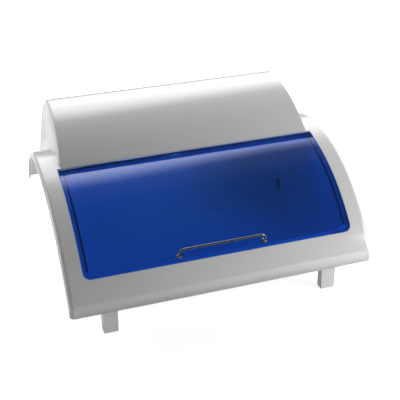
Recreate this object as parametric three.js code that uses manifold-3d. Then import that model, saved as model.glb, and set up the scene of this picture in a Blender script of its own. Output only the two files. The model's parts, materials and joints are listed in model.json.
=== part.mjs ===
import * as THREE from 'three';
import { mergeVertices } from 'three/addons/utils/BufferGeometryUtils.js';
import Module from 'manifold-3d';

const wasm = await Module();
wasm.setup();

// Millimetres and degrees. X runs along the cabinet, the depth d runs back from the
// front plane, Z is up from the foot pads. A slope is the angle of a curved sheet there,
// rising to the rear, and n is the distance in from its outer face.

// Overall
const WIDTH = 400;
const DEPTH = 312;
const GAP = 0.3;
const PIERCE = 1;
const SINK = 20;
const WELD = 0.0001;
const ROUND_SEGMENTS = 24;
const SMALL_SEGMENTS = 16;
const QUARTER_ANGLE = 90;

// Saddle: an upright band, a front arc, a rear arc
const SHEET = 3;
const BAND_BOTTOM = 44;
const BAND_HEIGHT = 17.4;
const START_ANGLE = 58.5;
const JOIN_ANGLE = 6;
const END_ANGLE = -64.8;
const FRONT_SHARE = 0.7356;
const REAR_SHARE = 0.4327;
const FRONT_RADIUS = DEPTH * FRONT_SHARE;
const REAR_RADIUS = DEPTH * REAR_SHARE;
const STEP_ANGLE = 2.6;
const RIM_ROUND = 6;
const RIM_DEPTH = 8;
const RIM_STEPS = 5;

// Door opening: recess, ledge and hole
const END_MARGIN = 22.8;
const RECESS_DEPTH = 5;
const LEDGE_DEPTH = 8.5;
const LEDGE_RIM = 3;
const LEDGE_SIDE = 9;
const LEDGE_FOOT = 4.5;
const LEDGE_HEAD = 10;
const CORNER = 9.5;
const HEAD_CORNER = 3;
const RECESS_CORNER = 1.5;
const CORNER_STEPS = 6;

// Door
const DOOR_GAP = 0.6;
const DOOR_THICK = 3;
const FOOT_ANGLE = 51.3;
const BARREL_RADIUS = 2.6;
const ROD_RADIUS = 1;
const HINGE_IN = 1.8;
const HINGE_TO_RECESS = 3.9;
const HINGE_TO_HUMP = 4.3;
const ROD_HOLD = 2.4;

// Handle
const WIRE_RADIUS = 1.6;
const HANDLE_HALF = 56.3;
const HANDLE_UP = 8.1;
const HANDLE_RISE = 12;
const HANDLE_LEAN = 5.8;
const HANDLE_BEND = 5;
const COLLAR_RADIUS = 3.5;
const COLLAR_THICK = 2.4;
const STUD_RADIUS = 1.5;
const NUT_RADIUS = 2.9;
const NUT_THICK = 2.4;
const HEX = 6;

// Light seals, door magnet and reed switch
const SEAL_THICK = 1.4;
const SEAL_WIDTH = 1.6;
const SEAL_IN = 6;
const SEAL_CLEAR = 10;
const SEAL_HEAD_CLEAR = 6;
const MAGNET_HALF = 7;
const MAGNET_CLEAR = 0.6;
const MAGNET_UP = 0.8;
const MAGNET_TALL = 3.4;
const REED_DOWN = 4.2;
const REED_TALL = 4;
const REED_THICK = 3;

// Lamp housing
const HUMP_SIDE = 26.8;
const HUMP_DRAFT = 7;
const HUMP_FOOT_SHARE = 0.0436;
const HUMP_RISE = 47;
const BACK_RADIUS = 46;
const HUMP_WALL = 3;
const HUMP_EDGE = 2.5;
const EDGE_STEPS = 2;
const BROW_STEPS = 14;
const BACK_STEPS = 10;
const HUMP_LIP = 30;
const HUMP_UNDER = 7.5;
const VENT_FROM_BACK = 24.5;
const VENT_WIDTH = 3;
const VENT_HEIGHT = 13;
const VENT_DROP = 33;

// Service recess with inlet and switch, in the rear wall
const BAY_SIDE = 78.2;
const BAY_HALF = 42;
const BAY_UNDER = 1.5;
const BAY_TALL = 15;
const BAY_DEEP = 6;
const INLET_LEFT = 19;
const INLET_HALF = 17;
const INLET_TALL = 10;
const INLET_BODY_HALF = 14.5;
const INLET_BODY_TALL = 7.5;
const INLET_BODY_DEEP = 18;
const INLET_FLANGE = 2;
const SOCKET_RADIUS = 5.2;
const SOCKET_PITCH = 8.6;
const SOCKET_DEEP = 14;
const PIN_RADIUS = 1.2;
const PIN_BACK = 4;
const PIN_REACH = 10;
const SWITCH_RIGHT = 23;
const SWITCH_HALF = 13;
const SWITCH_TALL = 9.5;
const SWITCH_BODY_HALF = 11;
const SWITCH_BODY_TALL = 7.5;
const SWITCH_BODY_DEEP = 15;
const WELL_HALF = 8.6;
const WELL_TALL = 5.9;
const WELL_DEEP = 9.5;
const ROCKER_HALF = 8.2;
const ROCKER_TALL = 4.7;
const ROCKER_TIP = 3.6;
const ROCKER_DIP = 1.8;
const ROCKER_FOOT = 3;
const ROCKER_BACK = 2.6;
const ROCKER_ANGLE = 9;
const ROCKER_IN = 3.6;
const STUB_RADIUS = 1;
const STUB_HALF = 9.6;

// Lamp: window, frame, heat sink, board and LEDs
const LAMP_FROM_ANGLE = -4;
const LAMP_TO_ANGLE = -19;
const LAMP_SIDE = 35.2;
const WINDOW_THICK = 2;
const WINDOW_LAP = 5;
const WINDOW_CORNER = 3;
const FRAME_WALL = 3;
const FRAME_CLEAR = 3;
const FRAME_LIP = 8;
const SINK_PLATE = 3;
const SINK_CLEAR = 4.3;
const FIN_THICK = 1.8;
const FIN_COUNT = 5;
const FIN_PITCH = 6.4;
const FIN_BACK = 3;
const BOARD_THICK = 1.6;
const LED_COUNT = 5;
const LED_HALF = 3.5;
const LED_BASE = 1.2;
const LED_DOME = 2.4;
const DOME_STEPS = 3;

// Driver on the rear wall
const DRIVER_HALF = 50;
const DRIVER_DEEP = 20;
const DRIVER_TALL = 40;
const RAIL_WALL = 2.5;
const RAIL_LIP = 6;
const RAIL_SHORT = 6;
const RAIL_SHELF = 8;

// Chamber tub
const TUB_WALL = 2;
const TUB_FRONT = 25;
const TUB_FROM_BACK = 42;
const TUB_SIDE_COVE = 28;
const TUB_FRONT_COVE = 20;
const TUB_BACK_COVE = 60;
const TUB_FRONT_CORNER = 8;
const TUB_BACK_CORNER = 40;
const TUB_LEVELS = 9;
const TUB_CORNER_STEPS = 5;
const AIR_FROM_BACK = 95;
const AIR_UP = 9;
const AIR_LONG_HALF = 9.8;
const AIR_WIDE_HALF = 2;
const AIR_LEAN_ANGLE = 26.3;

// Base housing
const BASE_WALL = 2.5;
const BASE_BACK_IN = 3.3;
const BASE_FRONT_CORNER = 10;
const BASE_BACK_CORNER = 42;

// Screw posts and screws
const POST_RADIUS = 4.5;
const BASE_POST_SIDE = 80;
const BASE_POST_FRONT = 14.4;
const BASE_POST_FROM_BACK = 29;
const HUMP_POST_FRONT_SIDE = 15.2;
const HUMP_POST_BACK_SIDE = 27.2;
const HUMP_POST_IN = 22.8;
const HUMP_POST_FROM_BACK = 31;
const SHANK_RADIUS = 1.5;
const HEAD_RADIUS = 3.2;
const HEAD_THICK = 2.2;
const BITE = 11;
const SEAT_DROP = 1;

// Feet and pads
const FOOT_SIDE = 51.8;
const FOOT_HALF = 10;
const FOOT_FRONT = 23.8;
const FOOT_FROM_BACK = 42;
const FOOT_DEEP_HALF = 6;
const FOOT_TAPER = 0.07;
const PEG_RADIUS = 4.6;
const PAD_PROUD = 1;
const PAD_THICK = 2;
const PAD_HALF = 7;
const PAD_DEEP_HALF = 3.6;

const LOOKS = {
  white_abs: { color: 0xe4e7ec, roughness: 0.12, metalness: 0 },
  inner_white: { color: 0xeef1f5, roughness: 0.3, metalness: 0 },
  blue_acrylic: { color: 0x1739a0, roughness: 0.04, metalness: 0, opacity: 0.55, transparent: true },
  chrome: { color: 0xd2d5da, roughness: 0.08, metalness: 1 },
  steel: { color: 0xa9adb3, roughness: 0.3, metalness: 1 },
  black_foam: { color: 0x0c0d10, roughness: 0.9, metalness: 0 },
  black_plastic: { color: 0x16171a, roughness: 0.45, metalness: 0 },
  grey_plastic: { color: 0x8d939b, roughness: 0.5, metalness: 0 },
  quartz: { color: 0xe6eef5, roughness: 0.05, metalness: 0, opacity: 0.4, transparent: true },
  aluminium: { color: 0xc3c7cc, roughness: 0.35, metalness: 1 },
  circuit_board: { color: 0xe9e9e2, roughness: 0.5, metalness: 0 },
  led_ceramic: { color: 0xf1e7b4, roughness: 0.4, metalness: 0 },
  brass: { color: 0xc9a24a, roughness: 0.25, metalness: 1 },
  rubber: { color: 0x1b1b1d, roughness: 0.85, metalness: 0 },
};

const group = new THREE.Group();
group.name = 'uv_sterilizer_cabinet';

const sine = (slope) => Math.sin(THREE.MathUtils.degToRad(slope));
const cosine = (slope) => Math.cos(THREE.MathUtils.degToRad(slope));
const back = (d) => d - DEPTH / 2;

// A closed mesh from loops of equal count, with flat ends.
function loft(loops, flat) {
  const count = flat.length;
  const positions = loops.flat(2);
  const faces = [];
  for (let i = 0; i + 1 < loops.length; i += 1) {
    for (let j = 0; j < count; j += 1) {
      const k = (j + 1) % count;
      const a = i * count;
      const b = a + count;
      faces.push([a + j, a + k, b + k], [a + j, b + k, b + j]);
    }
  }
  const contour = flat.map(([x, y]) => new THREE.Vector2(x, y));
  const turn = Math.sign(THREE.ShapeUtils.area(contour));
  const last = (loops.length - 1) * count;
  for (const [p, q, r] of THREE.ShapeUtils.triangulateShape(contour, [])) {
    const side = Math.sign(THREE.ShapeUtils.area([contour[p], contour[q], contour[r]]));
    const [s, t] = side === turn ? [q, r] : [r, q];
    faces.push([p, t, s], [last + p, last + s, last + t]);
  }
  const corner = (index) => new THREE.Vector3().fromArray(positions, index * 3);
  const volume = faces.reduce(
    (sum, [a, b, c]) => sum + corner(a).dot(corner(b).cross(corner(c))), 0);
  const index = faces.flatMap(([a, b, c]) => (volume < 0 ? [a, c, b] : [a, b, c]));
  const geometry = new THREE.BufferGeometry();
  geometry.setAttribute('position', new THREE.Float32BufferAttribute(positions, 3));
  geometry.setIndex(index);
  return solid(geometry);
}

function solid(geometry) {
  const bare = geometry.clone();
  bare.deleteAttribute('normal');
  bare.deleteAttribute('uv');
  const merged = mergeVertices(bare, WELD);
  const vertProperties = new Float32Array(merged.attributes.position.array);
  const triVerts = new Uint32Array(merged.index.array);
  return new wasm.Manifold(new wasm.Mesh({ numProp: 3, vertProperties, triVerts }));
}

function add(name, look, body) {
  const mesh = body.getMesh();
  const geometry = new THREE.BufferGeometry();
  geometry.setAttribute('position', new THREE.Float32BufferAttribute(mesh.vertProperties, 3));
  geometry.setIndex(Array.from(mesh.triVerts));
  geometry.computeVertexNormals();
  const node = new THREE.Mesh(geometry, new THREE.MeshStandardMaterial(LOOKS[look]));
  node.material.name = look;
  node.name = name;
  group.add(node);
}

function box(x0, x1, d0, d1, z0, z1) {
  const shape = new THREE.BoxGeometry(x1 - x0, d1 - d0, z1 - z0);
  shape.translate((x0 + x1) / 2, back((d0 + d1) / 2), (z0 + z1) / 2);
  return solid(shape);
}

function postAt(x, d, z0, z1, radius, segments) {
  const shape = new THREE.CylinderGeometry(radius, radius, z1 - z0, segments);
  shape.rotateX(Math.PI / 2);
  shape.translate(x, back(d), (z0 + z1) / 2);
  return solid(shape);
}

function pinAlongDepth(x, d0, d1, z, radius, segments) {
  const shape = new THREE.CylinderGeometry(radius, radius, d1 - d0, segments);
  shape.translate(x, back((d0 + d1) / 2), z);
  return solid(shape);
}

function rodAlongX(half, d, z, radius, segments) {
  const shape = new THREE.CylinderGeometry(radius, radius, half * 2, segments);
  shape.rotateZ(Math.PI / 2);
  shape.translate(0, back(d), z);
  return solid(shape);
}

// A side outline of (d, z) points, run along X.
function prism(points, x0, x1, options) {
  const outline = new THREE.Shape(points.map(([d, z]) => new THREE.Vector2(d, z)));
  const settings = { depth: x1 - x0, bevelEnabled: false, ...options };
  const shape = new THREE.ExtrudeGeometry(outline, settings);
  const turn = new THREE.Matrix4();
  turn.makeBasis(
    new THREE.Vector3(0, 1, 0), new THREE.Vector3(0, 0, 1), new THREE.Vector3(1, 0, 0));
  shape.applyMatrix4(turn);
  shape.translate(x0, back(0), 0);
  return shape;
}

// A plan outline with its own corner radii in front and behind.
function planLoop(half, d0, d1, frontCorner, backCorner, steps) {
  const loop = [];
  const corners = [
    [half, d0, frontCorner], [half, d1, backCorner],
    [-half, d1, backCorner], [-half, d0, frontCorner],
  ];
  corners.forEach(([x, d, radius], quarter) => {
    const cx = x - Math.sign(x) * radius;
    const cd = d === d0 ? d + radius : d - radius;
    for (let i = 0; i <= steps; i += 1) {
      const turn = QUARTER_ANGLE * (quarter - 1 + i / steps);
      loop.push([cx + radius * cosine(turn), cd + radius * sine(turn)]);
    }
  });
  return loop;
}

function standing(loop, z0, z1) {
  const loops = [z0, z1].map((z) => loop.map(([x, d]) => [x, back(d), z]));
  return loft(loops, loop);
}

// Saddle curve
const BAND_TOP = BAND_BOTTOM + BAND_HEIGHT;
const frontArc = {
  d: FRONT_RADIUS * sine(START_ANGLE),
  z: BAND_TOP - FRONT_RADIUS * cosine(START_ANGLE),
  r: FRONT_RADIUS,
};

function onArc(arc, slope, n) {
  return [arc.d - (arc.r - n) * sine(slope), arc.z + (arc.r - n) * cosine(slope)];
}

const [joinD, joinZ] = onArc(frontArc, JOIN_ANGLE, 0);
const rearArc = {
  d: joinD + REAR_RADIUS * sine(JOIN_ANGLE),
  z: joinZ - REAR_RADIUS * cosine(JOIN_ANGLE),
  r: REAR_RADIUS,
};
const APEX = rearArc.z + REAR_RADIUS;
const [tailD, tailZ] = onArc(rearArc, END_ANGLE, 0);

function slopes(from, to) {
  const count = Math.max(1, Math.round(Math.abs(from - to) / STEP_ANGLE));
  return Array.from({ length: count + 1 }, (unused, i) => from + ((to - from) * i) / count);
}

const frontSlopes = slopes(START_ANGLE, JOIN_ANGLE);
const rearSlopes = slopes(JOIN_ANGLE, END_ANGLE);

// The saddle's side curve at distance n in, from the band's bottom to the tail.
function saddleCurve(n) {
  const crease = n * Math.tan(THREE.MathUtils.degToRad((QUARTER_ANGLE - START_ANGLE) / 2));
  const curve = [[n, BAND_BOTTOM], [n, BAND_TOP - crease]];
  curve.push(...frontSlopes.slice(1).map((slope) => onArc(frontArc, slope, n)));
  curve.push(...rearSlopes.slice(1).map((slope) => onArc(rearArc, slope, n)));
  return curve;
}

// Everything below the saddle curve at distance n in.
function underSaddle(n) {
  const curve = saddleCurve(n);
  const floor = BAND_BOTTOM - SINK;
  const outline = [[curve[0][0], floor], ...curve, [curve.at(-1)[0], floor]];
  return solid(prism(outline.reverse(), -WIDTH, WIDTH));
}

// A patch of the front arc or rear arc between two slopes, with rounded corners.
function patch(arc, from, to, n0, n1, x0, x1, corner, headCorner = corner) {
  const middle = (x0 + x1) / 2;
  const half = (x1 - x0) / 2;
  const turn = (radius) => THREE.MathUtils.radToDeg(radius / arc.r);
  const marks = (radius) => (radius > 0
    ? Array.from(
      { length: CORNER_STEPS }, (unused, i) => 1 - cosine((QUARTER_ANGLE * i) / CORNER_STEPS))
    : []);
  const foot = from - turn(corner);
  const head = to + turn(headCorner);
  const list = [
    ...marks(corner).map((mark) => [from - turn(corner) * mark, mark, corner]),
    ...slopes(foot, head).map((slope) => [slope, 1, 0]),
    ...marks(headCorner).map((mark) => [to + turn(headCorner) * mark, mark, headCorner]).reverse(),
  ];
  const loops = list.map(([slope, mark, radius]) => {
    const reach = half - radius * (1 - Math.sqrt(1 - (1 - mark) ** 2));
    const near = onArc(arc, slope, n0);
    const far = onArc(arc, slope, n1);
    return [
      [middle - reach, back(near[0]), near[1]], [middle + reach, back(near[0]), near[1]],
      [middle + reach, back(far[0]), far[1]], [middle - reach, back(far[0]), far[1]],
    ];
  });
  const flat = [[-1, 0], [1, 0], [1, 1], [-1, 1]];
  return loft(loops, flat);
}

// Slope change of a length run along the front arc.
const along = (length) => THREE.MathUtils.radToDeg(length / FRONT_RADIUS);

// Height of the saddle above depth d, at distance n in.
function saddleTop(d, n) {
  const arc = d < joinD ? frontArc : rearArc;
  return arc.z + Math.sqrt((arc.r - n) ** 2 - (d - arc.d) ** 2);
}

// Hinge line, door and opening on the front arc
const HUMP_FOOT_SLOPE = JOIN_ANGLE + along(DEPTH * HUMP_FOOT_SHARE);
const HINGE_SLOPE = HUMP_FOOT_SLOPE + along(HINGE_TO_HUMP);
const [hingeD, hingeZ] = onArc(frontArc, HINGE_SLOPE, HINGE_IN);
const [humpFootD, humpFootZ] = onArc(frontArc, HUMP_FOOT_SLOPE, 0);
const OPENING_HALF = WIDTH / 2 - END_MARGIN;
const DOOR_HALF = OPENING_HALF - DOOR_GAP;
const HOLE_HALF = OPENING_HALF - LEDGE_SIDE;
const HUMP_HALF = WIDTH / 2 - HUMP_SIDE;
const LAMP_HALF = HUMP_HALF - LAMP_SIDE;
const RECESS_FOOT = FOOT_ANGLE + along(DOOR_GAP);
const RECESS_HEAD = HINGE_SLOPE - along(HINGE_TO_RECESS);
const ledgeHalf = OPENING_HALF + LEDGE_RIM;
const ledgeFoot = RECESS_FOOT + along(LEDGE_RIM);
const ledgeHead = RECESS_HEAD - along(LEDGE_RIM);

function ledgeBlock(spare) {
  const half = ledgeHalf + spare;
  const from = ledgeFoot + along(spare);
  const to = ledgeHead - along(spare);
  return patch(
    frontArc, from, to, SHEET / 2, LEDGE_DEPTH + spare, -half, half, CORNER, HEAD_CORNER);
}

// Shell section: flat in the middle, curled down at both ends.
function shellSection() {
  const outer = [];
  const inner = [];
  const half = WIDTH / 2;
  for (let i = 0; i <= RIM_STEPS; i += 1) {
    const turn = (QUARTER_ANGLE * i) / RIM_STEPS;
    const tight = RIM_ROUND - SHEET;
    outer.push([half - RIM_ROUND + RIM_ROUND * sine(turn), RIM_ROUND - RIM_ROUND * cosine(turn)]);
    inner.push([half - RIM_ROUND + tight * sine(turn), RIM_ROUND - tight * cosine(turn)]);
  }
  outer.push([half, RIM_DEPTH]);
  inner.push([half - SHEET, RIM_DEPTH]);
  const right = [...outer, ...inner.reverse()];
  const left = right.map(([x, n]) => [-x, n]).reverse();
  return [...right, ...left];
}

function sweepShell() {
  const section = shellSection();
  const crease = Math.tan(THREE.MathUtils.degToRad((QUARTER_ANGLE - START_ANGLE) / 2));
  const stations = [
    (n) => [n, BAND_BOTTOM],
    (n) => [n, BAND_TOP - crease * n],
    ...frontSlopes.slice(1).map((slope) => (n) => onArc(frontArc, slope, n)),
    ...rearSlopes.slice(1).map((slope) => (n) => onArc(rearArc, slope, n)),
  ];
  const loops = stations.map((station) => section.map(([x, n]) => {
    const [d, z] = station(n);
    return [x, back(d), z];
  }));
  return loft(loops, section);
}

const ends = [-1, 1];
const sides = [['left', -1], ['right', 1]];
const FLOOR_TOP = BAND_BOTTOM + BASE_WALL;

const holePatch = patch(
  frontArc, FOOT_ANGLE - along(LEDGE_FOOT), HINGE_SLOPE + along(LEDGE_HEAD),
  -PIERCE, LEDGE_DEPTH + PIERCE, -HOLE_HALF, HOLE_HALF, CORNER);
const recessPatch = patch(
  frontArc, RECESS_FOOT, RECESS_HEAD, -PIERCE, RECESS_DEPTH,
  -OPENING_HALF, OPENING_HALF, CORNER, RECESS_CORNER);
const lampSlot = patch(
  rearArc, LAMP_FROM_ANGLE, LAMP_TO_ANGLE, -PIERCE, SHEET + PIERCE, -LAMP_HALF, LAMP_HALF, WINDOW_CORNER);
const rodHalf = OPENING_HALF + ROD_HOLD;
const rodBore = rodAlongX(rodHalf + GAP, hingeD, hingeZ, ROD_RADIUS + GAP, SMALL_SEGMENTS);
const basePosts = [];
const humpPosts = [];
for (const side of ends) {
  const x = side * (WIDTH / 2 - BASE_POST_SIDE);
  basePosts.push([x, BASE_POST_FRONT], [x, DEPTH - BASE_POST_FROM_BACK]);
  humpPosts.push([side * (HUMP_HALF - HUMP_POST_FRONT_SIDE), humpFootD + HUMP_POST_IN]);
  humpPosts.push([side * (HUMP_HALF - HUMP_POST_BACK_SIDE), DEPTH - HUMP_POST_FROM_BACK]);
}

// Lowest point of the sheet's inner face over a screw boss.
function seatHeight(d) {
  const low = Math.min(saddleTop(d - POST_RADIUS, SHEET), saddleTop(d + POST_RADIUS, SHEET));
  return low - SEAT_DROP;
}

const bore = SHANK_RADIUS + GAP;
const keep = underSaddle(SHEET / 2);
let shell = sweepShell().add(ledgeBlock(0));
for (const [x, d] of basePosts) {
  const bottom = FLOOR_TOP + GAP;
  const post = postAt(x, d, bottom, APEX, POST_RADIUS, SMALL_SEGMENTS).intersect(keep);
  const hole = postAt(x, d, bottom - PIERCE, bottom + BITE, bore, SMALL_SEGMENTS);
  shell = shell.add(post).subtract(hole);
}
for (const [x, d] of humpPosts) {
  const boss = postAt(x, d, seatHeight(d), APEX, POST_RADIUS, SMALL_SEGMENTS).intersect(keep);
  const hole = postAt(x, d, BAND_BOTTOM, APEX + PIERCE, bore, SMALL_SEGMENTS);
  shell = shell.add(boss).subtract(hole);
}
shell = shell.subtract(recessPatch).subtract(holePatch).subtract(lampSlot).subtract(rodBore);
add('outer_shell', 'white_abs', shell);

// Door with its rolled hinge edge
const doorPanel = patch(
  frontArc, FOOT_ANGLE, HINGE_SLOPE, 0, DOOR_THICK, -DOOR_HALF, DOOR_HALF, CORNER, HEAD_CORNER);
const barrelHalf = DOOR_HALF - HEAD_CORNER;
const barrel = rodAlongX(barrelHalf, hingeD, hingeZ, BARREL_RADIUS, ROUND_SEGMENTS);
const legSlope = FOOT_ANGLE - along(HANDLE_UP);

// A cylinder square to the door at slope, from n0 to n1.
function acrossDoor(x, slope, n0, n1, radius, segments) {
  const shape = new THREE.CylinderGeometry(radius, radius, n1 - n0, segments);
  shape.rotateX(Math.PI / 2 + THREE.MathUtils.degToRad(slope));
  const [d, z] = onArc(frontArc, slope, (n0 + n1) / 2);
  shape.translate(x, back(d), z);
  return solid(shape);
}

let door = doorPanel.add(barrel).subtract(rodBore);
for (const side of ends) {
  const reach = DOOR_THICK + PIERCE;
  const radius = STUD_RADIUS + GAP;
  const hole = acrossDoor(side * HANDLE_HALF, legSlope, -PIERCE, reach, radius, SMALL_SEGMENTS);
  door = door.subtract(hole);
}
add('door_panel', 'blue_acrylic', door);
const rod = rodAlongX(rodHalf, hingeD, hingeZ, ROD_RADIUS, SMALL_SEGMENTS);
add('hinge_rod', 'steel', rod);

// Bow handle: one bent wire with two collars and two threaded studs
function handlePoint(x, rise, lean) {
  const [d, z] = onArc(frontArc, legSlope, -rise);
  const slope = legSlope;
  return new THREE.Vector3(x, back(d + lean * cosine(slope)), z + lean * sine(slope));
}

function bowHandle() {
  const path = new THREE.CurvePath();
  const dip = (WIRE_RADIUS * HANDLE_LEAN) / Math.hypot(HANDLE_RISE, HANDLE_LEAN);
  const foot = (side) => handlePoint(side * HANDLE_HALF, GAP * 2 + dip, 0);
  const knee = (side) => handlePoint(side * HANDLE_HALF, HANDLE_RISE, HANDLE_LEAN);
  const below = (side) => {
    const share = 1 - HANDLE_BEND / HANDLE_RISE;
    return foot(side).lerp(knee(side), share);
  };
  const straight = HANDLE_HALF - HANDLE_BEND;
  const inside = (side) => handlePoint(side * straight, HANDLE_RISE, HANDLE_LEAN);
  path.add(new THREE.LineCurve3(foot(-1), below(-1)));
  path.add(new THREE.QuadraticBezierCurve3(below(-1), knee(-1), inside(-1)));
  path.add(new THREE.LineCurve3(inside(-1), inside(1)));
  path.add(new THREE.QuadraticBezierCurve3(inside(1), knee(1), below(1)));
  path.add(new THREE.LineCurve3(below(1), foot(1)));
  const ring = new THREE.Shape();
  ring.absarc(0, 0, WIRE_RADIUS, 0, Math.PI * 2);
  const steps = ROUND_SEGMENTS * 2;
  const settings = { steps, extrudePath: path, bevelEnabled: false, curveSegments: HEX };
  let handle = solid(new THREE.ExtrudeGeometry(ring, settings));
  for (const side of ends) {
    const x = side * HANDLE_HALF;
    const top = -GAP - COLLAR_THICK;
    const collar = acrossDoor(x, legSlope, top, -GAP, COLLAR_RADIUS, ROUND_SEGMENTS);
    const tip = DOOR_THICK + GAP + NUT_THICK;
    const stud = acrossDoor(x, legSlope, top, tip, STUD_RADIUS, SMALL_SEGMENTS);
    handle = handle.add(collar).add(stud);
  }
  return handle;
}

add('door_handle', 'chrome', bowHandle());
for (const [word, side] of sides) {
  const x = side * HANDLE_HALF;
  const top = DOOR_THICK + GAP;
  const nut = acrossDoor(x, legSlope, top, top + NUT_THICK, NUT_RADIUS, HEX);
  const hole = acrossDoor(
    x, legSlope, top - PIERCE, top + NUT_THICK + PIERCE, STUD_RADIUS + GAP, SMALL_SEGMENTS);
  add(`handle_nut_${word}`, 'steel', nut.subtract(hole));
}

// Light seals, magnet and reed switch
for (const [word, side] of sides) {
  const outer = side * (OPENING_HALF - SEAL_IN);
  const inner = outer - side * SEAL_WIDTH;
  const from = FOOT_ANGLE - along(SEAL_CLEAR);
  const to = HINGE_SLOPE + along(SEAL_HEAD_CLEAR);
  const top = RECESS_DEPTH - GAP - SEAL_THICK;
  const edges = [inner, outer].sort((a, b) => a - b);
  const strip = patch(frontArc, from, to, top, RECESS_DEPTH - GAP, edges[0], edges[1], 0);
  add(`light_seal_${word}`, 'black_foam', strip);
}
const magnetFrom = FOOT_ANGLE - along(MAGNET_UP);
const magnetIn = DOOR_THICK + GAP;
const MAGNET_X = HOLE_HALF - MAGNET_CLEAR - MAGNET_HALF;
add('door_magnet', 'steel', patch(
  frontArc, magnetFrom, magnetFrom - along(MAGNET_TALL), magnetIn, RECESS_DEPTH - GAP,
  MAGNET_X - MAGNET_HALF, MAGNET_X + MAGNET_HALF, 0));
const reedFrom = FOOT_ANGLE + along(REED_DOWN + REED_TALL);
add('reed_switch', 'black_plastic', patch(
  frontArc, reedFrom, reedFrom - along(REED_TALL), SHEET + GAP, SHEET + GAP + REED_THICK,
  MAGNET_X - MAGNET_HALF, MAGNET_X + MAGNET_HALF, 0));

// Lamp housing: one arc from the foot up to the crest, one down to the rear wall
const HUMP_TOP = APEX + HUMP_RISE;
const HUMP_BOTTOM = tailZ + HUMP_UNDER;
const crestD = DEPTH - BACK_RADIUS;
const crestRun = crestD - humpFootD;
const crestRise = HUMP_TOP - humpFootZ;
const browRadius = (crestRun ** 2 + crestRise ** 2) / (crestRise * 2);
const browSlope = THREE.MathUtils.radToDeg(Math.atan2(crestRise, crestRun)) * 2;
const brow = { d: crestD, z: HUMP_TOP - browRadius, r: browRadius };

function humpOutline(inset) {
  const wall = DEPTH - inset;
  const rear = BACK_RADIUS - inset;
  const rearZ = HUMP_TOP - BACK_RADIUS;
  const bottom = HUMP_BOTTOM + inset;
  const [footD, footZ] = onArc(brow, browSlope, inset);
  const points = [[footD - SINK * cosine(browSlope), footZ - SINK * sine(browSlope)]];
  for (let i = 0; i <= BROW_STEPS; i += 1) {
    points.push(onArc(brow, browSlope * (1 - i / BROW_STEPS), inset));
  }
  for (let i = 1; i <= BACK_STEPS; i += 1) {
    const turn = (QUARTER_ANGLE * i) / BACK_STEPS;
    points.push([crestD + rear * sine(turn), rearZ + rear * cosine(turn)]);
  }
  points.push([wall, bottom], [DEPTH - HUMP_LIP, bottom]);
  return points.reverse();
}

// Height of the lamp housing's inner face above depth d, before the crest.
function ceiling(d) {
  return brow.z + Math.sqrt((brow.r - HUMP_WALL) ** 2 - (brow.d - d) ** 2);
}

// Narrows a shape along X with height, as a moulding's draft does.
function drafted(geometry) {
  const position = geometry.attributes.position;
  for (let i = 0; i < position.count; i += 1) {
    const share = (position.getZ(i) - humpFootZ) / (HUMP_TOP - humpFootZ);
    position.setX(i, position.getX(i) * (1 - (HUMP_DRAFT / HUMP_HALF) * share));
  }
  return solid(geometry);
}

const bevel = {
  bevelEnabled: true,
  bevelThickness: HUMP_EDGE,
  bevelSize: HUMP_EDGE,
  bevelOffset: -HUMP_EDGE,
  bevelSegments: EDGE_STEPS,
};
const humpFlat = HUMP_HALF - HUMP_EDGE;
const humpInner = HUMP_HALF - HUMP_WALL;
const humpVoid = drafted(prism(humpOutline(HUMP_WALL), -humpInner, humpInner));
let hump = drafted(prism(humpOutline(0), -humpFlat, humpFlat, bevel)).subtract(humpVoid);
const bayWall = DEPTH - BAY_DEEP;
const BAY_X = HUMP_HALF - BAY_SIDE;
const BAY_Z = HUMP_TOP - BACK_RADIUS - BAY_UNDER - BAY_TALL;
const INLET_X = BAY_X - INLET_LEFT;
const SWITCH_X = BAY_X + SWITCH_RIGHT;
hump = hump.add(box(
  BAY_X - BAY_HALF - HUMP_WALL, BAY_X + BAY_HALF + HUMP_WALL, bayWall - HUMP_WALL,
  DEPTH - HUMP_WALL / 2, BAY_Z - BAY_TALL - HUMP_WALL, BAY_Z + BAY_TALL + HUMP_WALL));
hump = hump.subtract(box(
  BAY_X - BAY_HALF, BAY_X + BAY_HALF, bayWall, DEPTH + PIERCE, BAY_Z - BAY_TALL, BAY_Z + BAY_TALL));
for (const [x, d] of humpPosts) {
  const bottom = saddleTop(d, 0);
  hump = hump.add(postAt(x, d, BAND_BOTTOM, HUMP_TOP, POST_RADIUS, SMALL_SEGMENTS)
    .intersect(humpVoid.add(hump))
    .subtract(postAt(x, d, BAND_BOTTOM, bottom + BITE, bore, SMALL_SEGMENTS)));
}

// Rails that hold the driver against the rear wall, left of the service recess
const DRIVER_X = (BAY_X - BAY_HALF - HUMP_WALL - humpInner) / 2;
const DRIVER_BOTTOM = HUMP_TOP - BACK_RADIUS - DRIVER_TALL;
const innerWall = DEPTH - HUMP_WALL;
const driverBack = innerWall - GAP;
const driverFront = driverBack - DRIVER_DEEP;
for (const side of ends) {
  const edge = DRIVER_X + side * (DRIVER_HALF + GAP);
  const outer = edge + side * RAIL_WALL;
  const lip = edge - side * RAIL_LIP;
  const lipBack = driverFront - GAP;
  const top = DRIVER_BOTTOM + DRIVER_TALL - RAIL_SHORT;
  const under = DRIVER_BOTTOM - GAP;
  const [a, b] = [edge, outer].sort((p, q) => p - q);
  const [e, f] = [lip, outer].sort((p, q) => p - q);
  hump = hump.add(box(a, b, lipBack - RAIL_WALL, innerWall + PIERCE, under, top));
  hump = hump.add(box(e, f, lipBack - RAIL_WALL, lipBack, under, top));
}
const shelfHalf = DRIVER_HALF + GAP + RAIL_WALL;
hump = hump.add(box(
  DRIVER_X - shelfHalf, DRIVER_X + shelfHalf, innerWall - RAIL_SHELF, innerWall + PIERCE,
  DRIVER_BOTTOM - GAP - RAIL_WALL, DRIVER_BOTTOM - GAP));
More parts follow.
